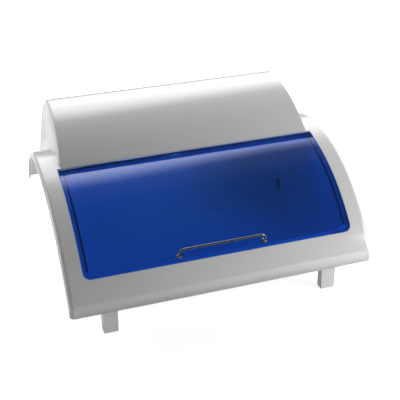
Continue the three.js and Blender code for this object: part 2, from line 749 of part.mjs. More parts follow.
for (const side of ends) {
  const top = HUMP_TOP - VENT_DROP;
  const ventBack = DEPTH - VENT_FROM_BACK;
  const deep = side * (HUMP_HALF - HUMP_WALL - HUMP_DRAFT);
  const [a, b] = [deep, side * HUMP_HALF].sort((p, q) => p - q);
  hump = hump.subtract(box(a, b, ventBack - VENT_WIDTH, ventBack, top - VENT_HEIGHT, top));
}
const inletBodyFront = bayWall - INLET_BODY_DEEP;
const switchBodyFront = bayWall - SWITCH_BODY_DEEP;

function block(x, half, d0, d1, tall) {
  return box(x - half, x + half, d0, d1, BAY_Z - tall, BAY_Z + tall);
}

const cutFrom = bayWall - HUMP_WALL - PIERCE;
const cutTo = bayWall + PIERCE;
hump = hump
  .subtract(block(INLET_X, INLET_BODY_HALF + GAP, cutFrom, cutTo, INLET_BODY_TALL + GAP))
  .subtract(block(SWITCH_X, SWITCH_BODY_HALF + GAP, cutFrom, cutTo, SWITCH_BODY_TALL + GAP));
hump = hump.subtract(underSaddle(-GAP));
add('lamp_housing', 'white_abs', hump);

// Mains inlet with two pins
const flangeIn = bayWall + GAP;
const inletFace = flangeIn + INLET_FLANGE;
let inlet = block(INLET_X, INLET_HALF, flangeIn, inletFace, INLET_TALL);
inlet = inlet.add(block(
  INLET_X, INLET_BODY_HALF, inletBodyFront, flangeIn + PIERCE, INLET_BODY_TALL));
const socketIn = inletFace - SOCKET_DEEP;
const pinIn = socketIn - PIN_BACK;
for (const side of ends) {
  const x = INLET_X + (side * SOCKET_PITCH) / 2;
  const hole = pinAlongDepth(
    x, pinIn - PIERCE, socketIn + PIERCE, BAY_Z, PIN_RADIUS + GAP, SMALL_SEGMENTS);
  inlet = inlet.subtract(pinAlongDepth(
    x, socketIn, inletFace + PIERCE, BAY_Z, SOCKET_RADIUS, ROUND_SEGMENTS)).subtract(hole);
}
add('mains_inlet', 'black_plastic', inlet);
for (const [word, side] of sides) {
  const x = INLET_X + (side * SOCKET_PITCH) / 2;
  add(`inlet_pin_${word}`, 'brass', pinAlongDepth(
    x, pinIn, socketIn + PIN_REACH, BAY_Z, PIN_RADIUS, SMALL_SEGMENTS));
}

// Rocker switch
let switchBody = block(SWITCH_X, SWITCH_HALF, flangeIn, inletFace, SWITCH_TALL);
switchBody = switchBody.add(block(
  SWITCH_X, SWITCH_BODY_HALF, switchBodyFront, flangeIn + PIERCE, SWITCH_BODY_TALL));
switchBody = switchBody.subtract(block(
  SWITCH_X, WELL_HALF, inletFace - WELL_DEEP, inletFace + PIERCE, WELL_TALL));
const pivotD = inletFace - ROCKER_IN;

function stubs(half, radius) {
  const shape = new THREE.CylinderGeometry(radius, radius, half * 2, SMALL_SEGMENTS);
  shape.rotateZ(Math.PI / 2);
  shape.translate(SWITCH_X, back(pivotD), BAY_Z);
  return solid(shape);
}

switchBody = switchBody.subtract(stubs(STUB_HALF + GAP, STUB_RADIUS + GAP));
add('switch_body', 'black_plastic', switchBody);
const rockerSide = [
  [ROCKER_TIP, -ROCKER_TALL], [ROCKER_DIP, 0], [ROCKER_TIP, ROCKER_TALL],
  [-ROCKER_BACK, ROCKER_FOOT], [-ROCKER_BACK, -ROCKER_FOOT],
].map(([u, v]) => [
  pivotD + u * cosine(ROCKER_ANGLE) + v * sine(ROCKER_ANGLE),
  BAY_Z + v * cosine(ROCKER_ANGLE) - u * sine(ROCKER_ANGLE),
]);
const rocker = solid(prism(rockerSide, SWITCH_X - ROCKER_HALF, SWITCH_X + ROCKER_HALF));
add('switch_rocker', 'black_plastic', rocker.add(stubs(STUB_HALF, STUB_RADIUS)));

// Lamp window, frame, heat sink, board and LEDs
const lap = THREE.MathUtils.radToDeg(WINDOW_LAP / REAR_RADIUS);
const windowHalf = LAMP_HALF + WINDOW_LAP;
const windowTop = -GAP - WINDOW_THICK;
const windowFrom = LAMP_FROM_ANGLE + lap;
const windowTo = LAMP_TO_ANGLE - lap;
add('lamp_window', 'quartz', patch(
  rearArc, windowFrom, windowTo, windowTop, -GAP, -windowHalf, windowHalf, WINDOW_CORNER));
const frameFront = onArc(rearArc, windowFrom, windowTop)[0] - FRAME_CLEAR - FRAME_WALL;
const frameBack = onArc(rearArc, windowTo, windowTop)[0] + FRAME_CLEAR + FRAME_WALL;
const frameHalf = windowHalf + FRAME_CLEAR + FRAME_WALL;
const frameTop = ceiling(frameFront + FRAME_WALL) - SINK_CLEAR - SINK_PLATE - GAP;
const low = rearArc.z;

function frameBox(inset, z0, z1) {
  return box(-frameHalf + inset, frameHalf - inset, frameFront + inset, frameBack - inset, z0, z1);
}

const lampFrame = frameBox(0, low, frameTop)
  .subtract(frameBox(FRAME_WALL, low - PIERCE, frameTop - FRAME_WALL))
  .subtract(frameBox(FRAME_LIP + FRAME_WALL, low, frameTop + PIERCE))
  .subtract(underSaddle(-GAP));
add('lamp_frame', 'grey_plastic', lampFrame);
const sinkBottom = frameTop + GAP;
const sinkTop = sinkBottom + SINK_PLATE;
const comb = [[frameFront + FRAME_WALL, sinkBottom], [frameBack, sinkBottom]];
const lastFin = frameBack - FIN_BACK - (FIN_COUNT - 1) * FIN_PITCH - FIN_THICK;
const finTop = ceiling(lastFin) - SINK_CLEAR;
for (let i = 0; i < FIN_COUNT; i += 1) {
  const right = frameBack - FIN_BACK - i * FIN_PITCH;
  comb.push([right, sinkTop], [right, finTop]);
  comb.push([right - FIN_THICK, finTop], [right - FIN_THICK, sinkTop]);
}
comb.splice(2, 0, [frameBack, sinkTop]);
comb.push([frameFront + FRAME_WALL, sinkTop]);
add('heat_sink', 'aluminium', solid(prism(comb, -frameHalf, frameHalf)));
const boardTop = sinkBottom - GAP;
const boardIn = FRAME_LIP + FRAME_WALL + GAP;
add('led_board', 'circuit_board', frameBox(boardIn, boardTop - BOARD_THICK, boardTop));
const boardHalf = frameHalf - boardIn;
const lampD = (frameFront + frameBack) / 2;
const ledTop = boardTop - BOARD_THICK - GAP;

function led(x) {
  const profile = [new THREE.Vector2(0, 0), new THREE.Vector2(LED_HALF, 0)];
  profile.push(new THREE.Vector2(LED_HALF, LED_BASE));
  for (let i = 0; i <= DOME_STEPS; i += 1) {
    const turn = (QUARTER_ANGLE * i) / DOME_STEPS;
    const radius = i === DOME_STEPS ? 0 : LED_DOME * cosine(turn);
    profile.push(new THREE.Vector2(radius, LED_BASE + LED_DOME * sine(turn)));
  }
  const shape = new THREE.LatheGeometry(profile, SMALL_SEGMENTS);
  shape.rotateX(-Math.PI / 2);
  shape.translate(x, back(lampD), ledTop);
  return solid(shape);
}

for (let i = 0; i < LED_COUNT; i += 1) {
  const x = ((i + 1 / 2) / LED_COUNT - 1 / 2) * boardHalf * 2;
  add(`uv_led_${i + 1}`, 'led_ceramic', led(x));
}
add('led_driver', 'grey_plastic', box(
  DRIVER_X - DRIVER_HALF, DRIVER_X + DRIVER_HALF, driverFront, driverBack, DRIVER_BOTTOM,
  DRIVER_BOTTOM + DRIVER_TALL));

// Chamber tub: straight walls above, coves below
const TUB_FLOOR = FLOOR_TOP + GAP + TUB_WALL;
const TUB_HALF = HOLE_HALF + GAP;
const TUB_BACK = DEPTH - TUB_FROM_BACK;

function coveIn(radius, rise) {
  return rise < radius ? radius - Math.sqrt(radius ** 2 - (radius - rise) ** 2) : 0;
}

function tubBlock(spare) {
  const side = TUB_SIDE_COVE + spare;
  const fore = TUB_FRONT_COVE + spare;
  const rear = TUB_BACK_COVE + spare;
  const rises = [];
  for (let i = 0; i <= TUB_LEVELS; i += 1) {
    rises.push(rear * (1 - cosine((QUARTER_ANGLE * i) / TUB_LEVELS)));
  }
  rises.push(APEX - TUB_FLOOR);
  const plans = rises.map((rise) => planLoop(
    TUB_HALF + spare - coveIn(side, rise), TUB_FRONT - spare + coveIn(fore, rise),
    TUB_BACK + spare - coveIn(rear, rise), TUB_FRONT_CORNER + spare, TUB_BACK_CORNER + spare,
    TUB_CORNER_STEPS));
  const loops = plans.map((plan, i) => plan.map(
    ([x, d]) => [x, back(d), TUB_FLOOR - spare + rises[i]]));
  return loft(loops, plans[0]);
}

const room = underSaddle(SHEET + GAP).subtract(ledgeBlock(GAP));
const humpBossRoom = humpPosts.map(([x, d]) => postAt(
  x, d, seatHeight(d) - HEAD_THICK - PIERCE, APEX, POST_RADIUS + GAP, SMALL_SEGMENTS));
let tub = tubBlock(TUB_WALL).subtract(tubBlock(0)).intersect(room);

// Air slot in the rear right corner of the tub, along the fall of its cove
const airPoints = [[-1, -1], [1, -1], [1, 1], [-1, 1]].map(([u, v]) => {
  const run = u * AIR_LONG_HALF;
  const wide = v * AIR_WIDE_HALF;
  return [
    DEPTH - AIR_FROM_BACK + run * cosine(AIR_LEAN_ANGLE) - wide * sine(AIR_LEAN_ANGLE),
    TUB_FLOOR + AIR_UP + run * sine(AIR_LEAN_ANGLE) + wide * cosine(AIR_LEAN_ANGLE),
  ];
});
const airReach = TUB_HALF + TUB_WALL + PIERCE;
tub = tub.subtract(solid(prism(airPoints, TUB_HALF - TUB_SIDE_COVE, airReach)));
for (const clear of humpBossRoom) {
  tub = tub.subtract(clear);
}
add('chamber_tub', 'inner_white', tub);

// Base housing
const baseHalf = TUB_HALF + TUB_WALL + GAP + BASE_WALL;
const baseFront = SHEET + GAP;
const baseBack = tailD - SHEET - BASE_BACK_IN;

function basePlan(inset) {
  return planLoop(
    baseHalf - inset, baseFront + inset, baseBack - inset, BASE_FRONT_CORNER - inset,
    BASE_BACK_CORNER - inset, TUB_CORNER_STEPS);
}

let base = standing(basePlan(0), BAND_BOTTOM, APEX)
  .subtract(standing(basePlan(BASE_WALL), FLOOR_TOP, APEX + PIERCE))
  .intersect(room);
const footSpots = [];
for (const [word, side] of sides) {
  const x = side * (WIDTH / 2 - FOOT_SIDE);
  footSpots.push([`front_${word}`, x, FOOT_FRONT]);
  footSpots.push([`rear_${word}`, x, DEPTH - FOOT_FROM_BACK]);
}
const holeFrom = BAND_BOTTOM - PIERCE;
const holeTo = FLOOR_TOP + PIERCE;
for (const [x, d] of basePosts) {
  base = base.subtract(postAt(x, d, holeFrom, holeTo, bore, SMALL_SEGMENTS));
}
for (const [, x, d] of footSpots) {
  base = base.subtract(postAt(x, d, holeFrom, holeTo, PEG_RADIUS + GAP, SMALL_SEGMENTS));
}
for (const clear of humpBossRoom) {
  base = base.subtract(clear);
}
add('base_housing', 'inner_white', base);

// Feet with pegs into the floor, and rubber pads
for (const [word, x, d] of footSpots) {
  const top = BAND_BOTTOM - GAP;
  const tall = top - PAD_PROUD;
  const shape = new THREE.BoxGeometry(FOOT_HALF * 2, FOOT_DEEP_HALF * 2, tall);
  const position = shape.attributes.position;
  for (let i = 0; i < position.count; i += 1) {
    const share = position.getZ(i) < 0 ? 1 - FOOT_TAPER : 1;
    position.setX(i, position.getX(i) * share);
  }
  shape.translate(x, back(d), PAD_PROUD + tall / 2);
  const peg = postAt(x, d, top - PIERCE, FLOOR_TOP - GAP / 2, PEG_RADIUS, SMALL_SEGMENTS);
  const pocket = box(
    x - PAD_HALF - GAP, x + PAD_HALF + GAP, d - PAD_DEEP_HALF - GAP, d + PAD_DEEP_HALF + GAP,
    0, PAD_THICK + GAP);
  add(`foot_${word}`, 'white_abs', solid(shape).add(peg).subtract(pocket));
  add(`foot_pad_${word}`, 'rubber', box(
    x - PAD_HALF, x + PAD_HALF, d - PAD_DEEP_HALF, d + PAD_DEEP_HALF, 0, PAD_THICK));
}

// Screws, heads down
function screw(x, d, headTop, tip) {
  const head = postAt(x, d, headTop - HEAD_THICK, headTop, HEAD_RADIUS, SMALL_SEGMENTS);
  return head.add(postAt(x, d, headTop - PIERCE, tip, SHANK_RADIUS, SMALL_SEGMENTS));
}

basePosts.forEach(([x, d], i) => {
  const tip = FLOOR_TOP + BITE - GAP;
  add(`base_screw_${i + 1}`, 'steel', screw(x, d, BAND_BOTTOM - GAP, tip));
});
humpPosts.forEach(([x, d], i) => {
  const tip = saddleTop(d, 0) + BITE - GAP;
  add(`housing_screw_${i + 1}`, 'steel', screw(x, d, seatHeight(d) - GAP, tip));
});

export default group;
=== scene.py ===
# %% [markdown]
# # A countertop UV cabinet, dressed from its CAD model
#
# The cabinet is a saddle of glossy white ABS with a blue see-through door, a lamp
# housing on its crown and a smooth white tub inside. The CAD model already holds every
# solid in its real place, so this script does three things: it gives each surface the
# finish of its real material, it makes smooth-shaded copies of the moulded parts, and it
# sets up a plain studio with a camera at the photograph's angle.

# %% Load the frame
import bmesh
import bpy
import json
import math
from mathutils import Matrix, Vector


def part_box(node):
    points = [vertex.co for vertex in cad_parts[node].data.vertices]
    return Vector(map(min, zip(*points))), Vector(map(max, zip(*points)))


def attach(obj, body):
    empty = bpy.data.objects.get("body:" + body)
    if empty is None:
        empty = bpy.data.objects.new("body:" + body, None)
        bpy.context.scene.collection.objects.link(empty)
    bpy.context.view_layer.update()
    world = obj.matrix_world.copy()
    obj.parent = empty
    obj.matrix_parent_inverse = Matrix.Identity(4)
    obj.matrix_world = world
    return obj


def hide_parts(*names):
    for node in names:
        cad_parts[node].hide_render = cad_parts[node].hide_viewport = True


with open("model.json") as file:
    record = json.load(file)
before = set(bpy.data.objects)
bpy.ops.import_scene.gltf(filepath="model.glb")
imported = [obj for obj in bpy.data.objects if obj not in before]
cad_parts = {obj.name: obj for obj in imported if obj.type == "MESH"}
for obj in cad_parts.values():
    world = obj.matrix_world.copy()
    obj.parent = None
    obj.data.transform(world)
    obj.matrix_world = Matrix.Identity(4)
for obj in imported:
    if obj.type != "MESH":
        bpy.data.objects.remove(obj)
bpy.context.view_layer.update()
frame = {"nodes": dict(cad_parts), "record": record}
nodes = frame["nodes"]

# %% [markdown]
# ## Small helpers
#
# Colours are written as sRGB hex, as a paint chart gives them, while the renderer works
# in linear light, so one function converts. Another adds a shader node: a plain value is
# set on the socket, and another node's socket is linked to it. The last two put an object
# in the scene and write its place as a matrix from three axes and an origin.

# %% Colour, node and object helpers
MM_PER_M = 1000


def linear(code):
    parts = [int(code[i:i + 2], 16) / 255 for i in (0, 2, 4)]
    return [p / 12.92 if p <= 0.04045 else ((p + 0.055) / 1.055) ** 2.4 for p in parts] + [1.0]


def add(tree, kind, settings, sockets):
    node = tree.nodes.new("ShaderNode" + kind)
    for key, value in settings.items():
        setattr(node, key, value)
    for key, value in sockets.items():
        if isinstance(value, bpy.types.NodeSocket):
            tree.links.new(value, node.inputs[key])
        else:
            node.inputs[key].default_value = value
    return node


def blank(name):
    material = bpy.data.materials.new(name)
    material.use_nodes = True
    material.node_tree.nodes.clear()
    return material, material.node_tree


def placed(name, data):
    thing = bpy.data.objects.new(name, data)
    bpy.context.scene.collection.objects.link(thing)
    return thing


def stance(x_axis, y_axis, z_axis, origin):
    return Matrix((
        (x_axis.x, y_axis.x, z_axis.x, origin.x), (x_axis.y, y_axis.y, z_axis.y, origin.y),
        (x_axis.z, y_axis.z, z_axis.z, origin.z), (0, 0, 0, 1)))


print("glossy white is", [round(v, 3) for v in linear("EEEEED")])

# %% [markdown]
# ## Moulded, cast and plated finishes
#
# Most parts here share one recipe. A broad noise moves the colour a little between two
# tones, as pigment and light handling do. A second noise moves the roughness, and a fine
# one makes the relief: the orange peel of a polished mould, the grit of an eroded one, or
# the cells of foam. Sizes are in millimetres and become noise scales per metre. Doing it
# in one function keeps the real numbers of each material side by side.

# %% The shared recipe
WEAR_FINER = 2.6  # the wear pattern is this much finer than the colour patches


def finish(name, tones, rough, metallic, patch_mm, grain_mm, relief_mm, ior=1.5):
    material, tree = blank(name)
    place = add(tree, "TexCoord", {}, {}).outputs["Object"]
    patches = add(tree, "TexNoise", {}, {
        "Vector": place, "Scale": MM_PER_M / patch_mm, "Detail": 2.0, "Roughness": 0.5})
    colour = add(tree, "Mix", {"data_type": "RGBA"}, {
        0: patches.outputs["Fac"], 6: linear(tones[0]), 7: linear(tones[1])})
    wear = add(tree, "TexNoise", {}, {
        "Vector": place, "Scale": MM_PER_M * WEAR_FINER / patch_mm, "Detail": 4.0,
        "Roughness": 0.6})
    gloss = add(tree, "MapRange", {}, {
        "Value": wear.outputs["Fac"], "From Min": 0.3, "From Max": 0.7,
        "To Min": rough[0], "To Max": rough[1]})
    grain = add(tree, "TexNoise", {}, {
        "Vector": place, "Scale": MM_PER_M / grain_mm, "Detail": 1.0, "Roughness": 0.4})
    relief = add(tree, "Bump", {}, {
        "Height": grain.outputs["Fac"], "Strength": 1.0, "Distance": relief_mm / MM_PER_M})
    shader = add(tree, "BsdfPrincipled", {}, {
        "Base Color": colour.outputs[2], "Roughness": gloss.outputs["Result"],
        "Metallic": metallic, "IOR": ior, "Normal": relief.outputs["Normal"]})
    add(tree, "OutputMaterial", {}, {"Surface": shader.outputs["BSDF"]})
    return material


# %% [markdown]
# ## The finishes of this cabinet
#
# Glossy injection-moulded ABS reflects sharply but has a very slight ripple. The tub is
# the same plastic from a satin mould. The handle wire is nickel and chrome plated, the
# screws and nuts are zinc plated, and the feet stand on moulded rubber. Each row gives two
# tones, the roughness from and to, metallic, then in millimetres the size of the patches,
# the size of the grain and the depth of its relief, and the IOR of the ABS.

# %% Make the plain finishes
looks = {
    "white_abs": finish(
        "glossy_moulded_abs", ("EEEEED", "EAEAE9"), (0.10, 0.15), 0.0, 90, 5, 0.004, 1.54),
    "inner_white": finish(
        "satin_moulded_abs", ("F0F0F0", "ECECEC"), (0.26, 0.34), 0.0, 70, 1.2, 0.0015, 1.54),
    "chrome": finish(
        "chrome_plated_wire", ("77787B", "6B6C6F"), (0.04, 0.08), 1.0, 20, 0.8, 0.002),
    "steel": finish(
        "zinc_plated_steel", ("B4B7BC", "9EA2A9"), (0.24, 0.36), 1.0, 6, 0.5, 0.01),
    "black_foam": finish(
        "closed_cell_foam", ("0B0A12", "15131D"), (0.8, 0.95), 0.0, 8, 0.5, 0.12),
    "black_plastic": finish(
        "eroded_black_nylon", ("1A1B1E", "121316"), (0.38, 0.5), 0.0, 15, 0.35, 0.02),
    "grey_plastic": finish(
        "grey_polycarbonate", ("9298A0", "868C95"), (0.4, 0.52), 0.0, 25, 0.5, 0.02),
    "aluminium": finish(
        "extruded_aluminium", ("C6CACF", "B5B9BF"), (0.3, 0.42), 1.0, 12, 0.4, 0.01),
    "circuit_board": finish(
        "white_solder_mask", ("EDEDE6", "DEDED6"), (0.35, 0.5), 0.0, 6, 1.5, 0.02),
    "led_ceramic": finish(
        "led_ceramic", ("F2E8B8", "E6DBA4"), (0.3, 0.45), 0.0, 3, 0.4, 0.01),
    "brass": finish(
        "turned_brass", ("CDA850", "BB9440"), (0.18, 0.3), 1.0, 4, 0.4, 0.005),
    "rubber": finish(
        "moulded_rubber", ("1E1E20", "151516"), (0.75, 0.9), 0.0, 10, 0.6, 0.05),
}
print("finishes:", len(looks))

# %% [markdown]
# ## Blue cast acrylic
#
# The door is a curved sheet of deep blue acrylic, IOR 1.49. It is clear, so its colour is
# what it lets through: a tint on a transmitting shader, which light meets once at each of
# the sheet's two faces. A renderer treats glass as solid when it traces light from a lamp,
# so for those rays a Transparent shader stands in, with the square root of the tint on
# each face, and the chamber stays lit.

# %% Make the acrylic and the quartz
SMUDGES_PER_M = 60.0


def clear(name, tint, rough, ior, wave_mm, wave_depth_mm):
    material, tree = blank(name)
    place = add(tree, "TexCoord", {}, {}).outputs["Object"]
    waves = add(tree, "TexNoise", {}, {
        "Vector": place, "Scale": MM_PER_M / wave_mm, "Detail": 1.0, "Roughness": 0.4})
    relief = add(tree, "Bump", {}, {
        "Height": waves.outputs["Fac"], "Strength": 1.0, "Distance": wave_depth_mm / MM_PER_M})
    smudge = add(tree, "TexNoise", {}, {
        "Vector": place, "Scale": SMUDGES_PER_M, "Detail": 4.0, "Roughness": 0.6})
    gloss = add(tree, "MapRange", {}, {
        "Value": smudge.outputs["Fac"], "From Min": 0.4, "From Max": 0.8,
        "To Min": rough[0], "To Max": rough[1]})
    shader = add(tree, "BsdfPrincipled", {}, {
        "Base Color": linear(tint), "Roughness": gloss.outputs["Result"], "IOR": ior,
        "Transmission Weight": 1.0, "Normal": relief.outputs["Normal"]})
    one_face = [math.sqrt(v) for v in linear(tint)]
    lamp_rays = add(tree, "BsdfTransparent", {}, {"Color": one_face})
    path = add(tree, "LightPath", {}, {})
    both = add(tree, "MixShader", {}, {
        0: path.outputs["Is Shadow Ray"], 1: shader.outputs["BSDF"], 2: lamp_rays.outputs[0]})
    add(tree, "OutputMaterial", {}, {"Surface": both.outputs[0]})
    return material


looks["blue_acrylic"] = clear("blue_cast_acrylic", "3376C4", (0.015, 0.04), 1.49, 60, 0.002)
looks["quartz"] = clear("fused_quartz", "EAF2F8", (0.03, 0.06), 1.46, 40, 0.001)
print("clear finishes:", looks["blue_acrylic"].name, looks["quartz"].name)

# %% Give every CAD piece its finish
for row in frame["record"]["subparts"]:
    for slot in nodes[row["node"]].material_slots:
        slot.material = looks[row["material_slot"]]

# %% [markdown]
# ## Smooth copies of the moulded parts
#
# The CAD mesh follows each curve with flat strips a few degrees apart. A glossy surface
# shows such strips as bands in its reflections. A copy keeps the same shape and gets
# smooth normals instead: the saddle and the lamp housing are made of known arcs, so the
# exact normal at each corner is the direction from the arc's axis. Where a face doesn't
# lie on an arc, the usual smoothing by angle is kept. The tub, the base and the handle
# have no such arcs, and get normals weighted by the size of the faces around a corner.

# %% The arcs, in metres
DEPTH = 0.312
FRONT_RADIUS = DEPTH * 0.7356
REAR_RADIUS = DEPTH * 0.4327
START, JOIN = math.radians(58.5), math.radians(6)
BAND_TOP = 0.0614
END_START, END_RADIUS = 0.194, 0.006  # where the saddle's ends begin to round off
front_axis = Vector((0, FRONT_RADIUS * math.sin(START) - DEPTH / 2,
                     BAND_TOP - FRONT_RADIUS * math.cos(START)))
join = front_axis + FRONT_RADIUS * Vector((0, -math.sin(JOIN), math.cos(JOIN)))
rear_axis = join + REAR_RADIUS * Vector((0, math.sin(JOIN), -math.cos(JOIN)))
print("front axis", front_axis, "rear axis", rear_axis)


def saddle_normal(point):
    axis = front_axis if point.y < join.y else rear_axis
    outward = Vector((0, point.y - axis.y, point.z - axis.z)).normalized()
    past = (abs(point.x) - END_START) / END_RADIUS
    if past > 0:
        turn = math.asin(min(past, 1.0))
        side = math.copysign(math.sin(turn), point.x)
        outward = outward * math.cos(turn) + Vector((side, 0, 0))
    return outward


# %% The copy and its normals
WELD = 1e-6  # metres


def weigh_normals(piece):
    # Large flat faces set the normals at their corners, so no streaks run across them.
    weighted = piece.modifiers.new("weighted", "WEIGHTED_NORMAL")
    weighted.mode = "FACE_AREA_WITH_ANGLE"
    weighted.keep_sharp = True
    depsgraph = bpy.context.evaluated_depsgraph_get()
    weighed = bpy.data.meshes.new_from_object(
        piece.evaluated_get(depsgraph), preserve_all_data_layers=True, depsgraph=depsgraph)
    piece.modifiers.clear()
    piece.data = weighed


def smooth_copy(node, true_normal, angle=32, close=12, cut=None, past_cut=None):
    # Faces beyond y = cut have their shading normals turned by the matrix past_cut.
    source = nodes[node]
    mesh = source.data.copy()
    shape = bmesh.new()
    shape.from_mesh(mesh)
    bmesh.ops.remove_doubles(shape, verts=shape.verts, dist=WELD)
    if cut is not None:
        bmesh.ops.bisect_plane(
            shape, geom=shape.verts[:] + shape.edges[:] + shape.faces[:], dist=WELD,
            plane_co=Vector((0, cut, 0)), plane_no=Vector((0, 1, 0)))
    shape.to_mesh(mesh)
    shape.free()
    mesh.set_sharp_from_angle(angle=math.radians(angle))
    normals = [Vector(c.vector) for c in mesh.corner_normals]
    limit = math.cos(math.radians(close))
    if true_normal:
        for face in mesh.polygons:
            for corner in face.loop_indices:
                point = mesh.vertices[mesh.loops[corner].vertex_index].co
                outward = true_normal(point)
                along = face.normal.dot(outward)
                if abs(along) > limit:
                    if cut is not None and face.center.y > cut:
                        outward = past_cut @ outward
                    normals[corner] = outward * math.copysign(1, along)
        mesh.normals_split_custom_set(normals)
    piece = placed(node + "_smooth", mesh)
    if not true_normal:
        weigh_normals(piece)
    body = next(b for b, names in frame["record"]["behaviour"]["bodies"].items() if node in names)
    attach(piece, body)
    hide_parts(node)
    return piece


# %% [markdown]
# ## The saddle and the door
#
# Both are bent from the same arcs. On the door two turns change the shading only, and the
# sheet stays a plain curve in the mesh. One turns all its normals a little, which sets the
# streak of light at its height in the photograph. The other turns those of a strip along
# the top edge, which then mirrors the dark space above the softbox as a plain navy band.
# What makes that band on the real door can't be seen, so it is only shaded and not built.

# %% Make the saddle and the door
STRIP_DEPTH = 0.0147  # from the rolled edge's rear
STRIP_TURN = Matrix.Rotation(math.radians(18), 3, "X")
SHEET_TURN = Matrix.Rotation(math.radians(-2.2), 3, "X")
door_top = max(v.co.y for v in nodes["door_panel"].data.vertices)


def door_normal(point):
    return SHEET_TURN @ saddle_normal(point)


shell = smooth_copy("outer_shell", saddle_normal)
door = smooth_copy("door_panel", door_normal, cut=door_top - STRIP_DEPTH, past_cut=STRIP_TURN)
print("shell faces", len(shell.data.polygons), "door faces", len(door.data.polygons))

# %% [markdown]
# ## The lamp housing and the inner parts
#
# The lamp housing is two arcs that run along X: a wide one climbs from its foot to the
# crest, and a smaller one rolls down to the rear wall. They meet at the crest, so the
# wide arc's radius follows from its run and its rise.

# %% Make the lamp housing
HOUSING_RISE = 0.047  # from the saddle's crown to the crest
HOUSING_TOP = rear_axis.z + REAR_RADIUS + HOUSING_RISE
BACK_RADIUS = 0.046
FOOT_ARC = DEPTH * 0.0436  # from the join of the saddle's arcs forward to the foot
foot_turn = JOIN + FOOT_ARC / FRONT_RADIUS
foot = front_axis + FRONT_RADIUS * Vector((0, -math.sin(foot_turn), math.cos(foot_turn)))
crest_y = DEPTH / 2 - BACK_RADIUS
run, climb = crest_y - foot.y, HOUSING_TOP - foot.z
BROW_RADIUS = (run ** 2 + climb ** 2) / (2 * climb)
steepest = 2 * math.atan2(climb, run)


def housing_normal(point):
    radius = BROW_RADIUS if point.y < crest_y else BACK_RADIUS
    turn = math.atan2(crest_y - point.y, point.z - (HOUSING_TOP - radius))
    turn = max(-math.pi / 2, min(turn, steepest))
    return Vector((0, -math.sin(turn), math.cos(turn)))


smooth_copy("lamp_housing", housing_normal, close=6)
print("housing top", round(HOUSING_TOP, 4), "steepest", round(math.degrees(steepest), 1))

# %% Make the tub, the base and the handle
for node, angle in (("chamber_tub", 24), ("base_housing", 24), ("door_handle", 36)):
    piece = smooth_copy(node, None, angle=angle)
    print(piece.name, len(piece.data.polygons), "faces")

# %% [markdown]
# ## A plain studio
#
# The floor glows for camera rays only, so it looks white and keeps the cabinet's shadow.
# The world is white for the rays of the camera and of glass. A mirror ray sees grey
# instead, darker in front and lighter behind, which gives the gloss a soft change of tone.
# All other rays find the world black, so that only the lamps light the cabinet.

# %% The floor
FLOOR_GLOW = 0.7
shape = bmesh.new()
bmesh.ops.create_grid(shape, x_segments=4, y_segments=4, size=4.0)
floor_mesh = bpy.data.meshes.new("studio_floor")
shape.to_mesh(floor_mesh)
shape.free()
floor = placed("studio_floor", floor_mesh)
paper, tree = blank("matt_backdrop_paper")
place = add(tree, "TexCoord", {}, {}).outputs["Object"]
fibre = add(tree, "TexNoise", {}, {"Vector": place, "Scale": 8.0, "Detail": 3.0})
tone = add(tree, "Mix", {"data_type": "RGBA"}, {
    0: fibre.outputs["Fac"], 6: linear("F4F4F4"), 7: linear("EFEFEF")})
dull = add(tree, "BsdfDiffuse", {}, {"Color": tone.outputs[2]})
path = add(tree, "LightPath", {}, {})
lift = add(tree, "Math", {"operation": "MULTIPLY"}, {
    0: path.outputs["Is Camera Ray"], 1: FLOOR_GLOW})
glowing = add(tree, "Emission", {}, {"Strength": lift.outputs[0]})
both = add(tree, "AddShader", {}, {0: dull.outputs[0], 1: glowing.outputs[0]})
add(tree, "OutputMaterial", {}, {"Surface": both.outputs[0]})
floor_mesh.materials.append(paper)
print("floor of", paper.name)

# %% The world
GREY_IN_FRONT, GREY_BEHIND = 0.1, 0.35
world = bpy.data.worlds.new("studio")
bpy.context.scene.world = world
world.use_nodes = True
tree = world.node_tree
tree.nodes.clear()
path = add(tree, "LightPath", {}, {})
seen = add(tree, "Math", {"operation": "MAXIMUM"}, {
    0: path.outputs["Is Camera Ray"], 1: path.outputs["Is Transmission Ray"]})
way = add(tree, "TexCoord", {}, {}).outputs["Generated"]
parts = add(tree, "SeparateXYZ", {}, {"Vector": way})
behind = add(tree, "MapRange", {"interpolation_type": "SMOOTHSTEP"}, {
    "Value": parts.outputs["Y"], "From Min": 0.1, "From Max": 0.5,
    "To Min": GREY_IN_FRONT, "To Max": GREY_BEHIND})
mirrored = add(tree, "Math", {"operation": "MULTIPLY"}, {
    0: path.outputs["Is Glossy Ray"], 1: behind.outputs["Result"]})
level = add(tree, "Math", {"operation": "MAXIMUM"}, {0: seen.outputs[0], 1: mirrored.outputs[0]})
sky = add(tree, "Background", {}, {"Color": (1, 1, 1, 1), "Strength": level.outputs[0]})
add(tree, "OutputWorld", {}, {"Surface": sky.outputs[0]})
print("world ready")

# %% [markdown]
# ## The softbox
#
# One large softbox leans over the cabinet from behind. It draws the bright band along the
# crest of the lamp housing and the soft streak at the top of the door. Its own nodes read
# its surface as two numbers from 0 to 1, across and along. They fade it towards its top
# edge, a little sooner at its right end, and dim it at its foot. It stands behind the
# cabinet, so the rear wall gets much more light than the front and comes out near white.

# %% Make the softbox
def turned(name, data, centre, across, along):
    lamp = placed(name, data)
    lamp.matrix_world = stance(across, along, across.cross(along), centre)
    lamp.visible_camera = False
    return lamp


